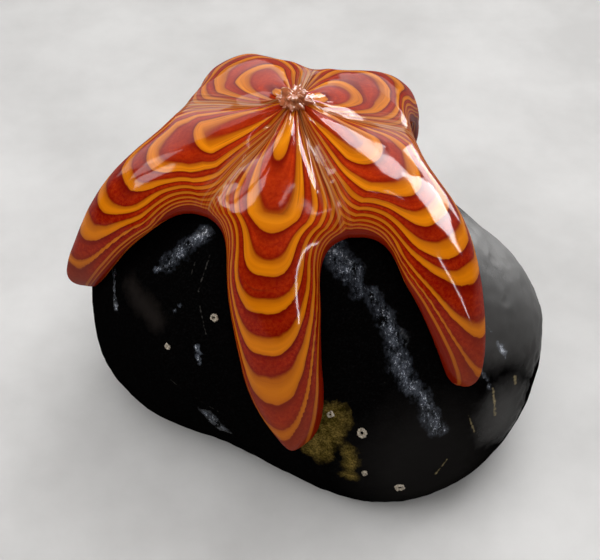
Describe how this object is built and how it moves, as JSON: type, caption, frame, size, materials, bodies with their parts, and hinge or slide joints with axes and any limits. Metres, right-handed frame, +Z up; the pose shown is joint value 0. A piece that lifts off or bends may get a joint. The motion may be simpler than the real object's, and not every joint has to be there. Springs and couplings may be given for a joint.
{
  "type": "glass starfish sculpture on a stone",
  "caption": "Hot-worked glass starfish in red with amber rings, its arms draped over the smooth black beach stone that is its stand.",
  "frame": {"origin": "middle of the part's width and depth, on the floor under the stone", "axes": "+Z up; -Y towards the front arm, the one that hangs lowest; +X towards the stone's broad right end"},
  "size_m": [0.183, 0.1656, 0.1476],
  "materials": {
    "glass": "opaque layered glass, brick red with amber rings, high gloss",
    "stone": "near-black beach stone, sealed glossy, finely pitted"
  },
  "bodies": {
    "root": {"stone": "stone", "star_disc": "glass", "star_crown": "glass", "arm_front": "glass", "arm_right": "glass", "arm_back_right": "glass", "arm_back_left": "glass", "arm_left": "glass"}
  },
  "joints": []
}
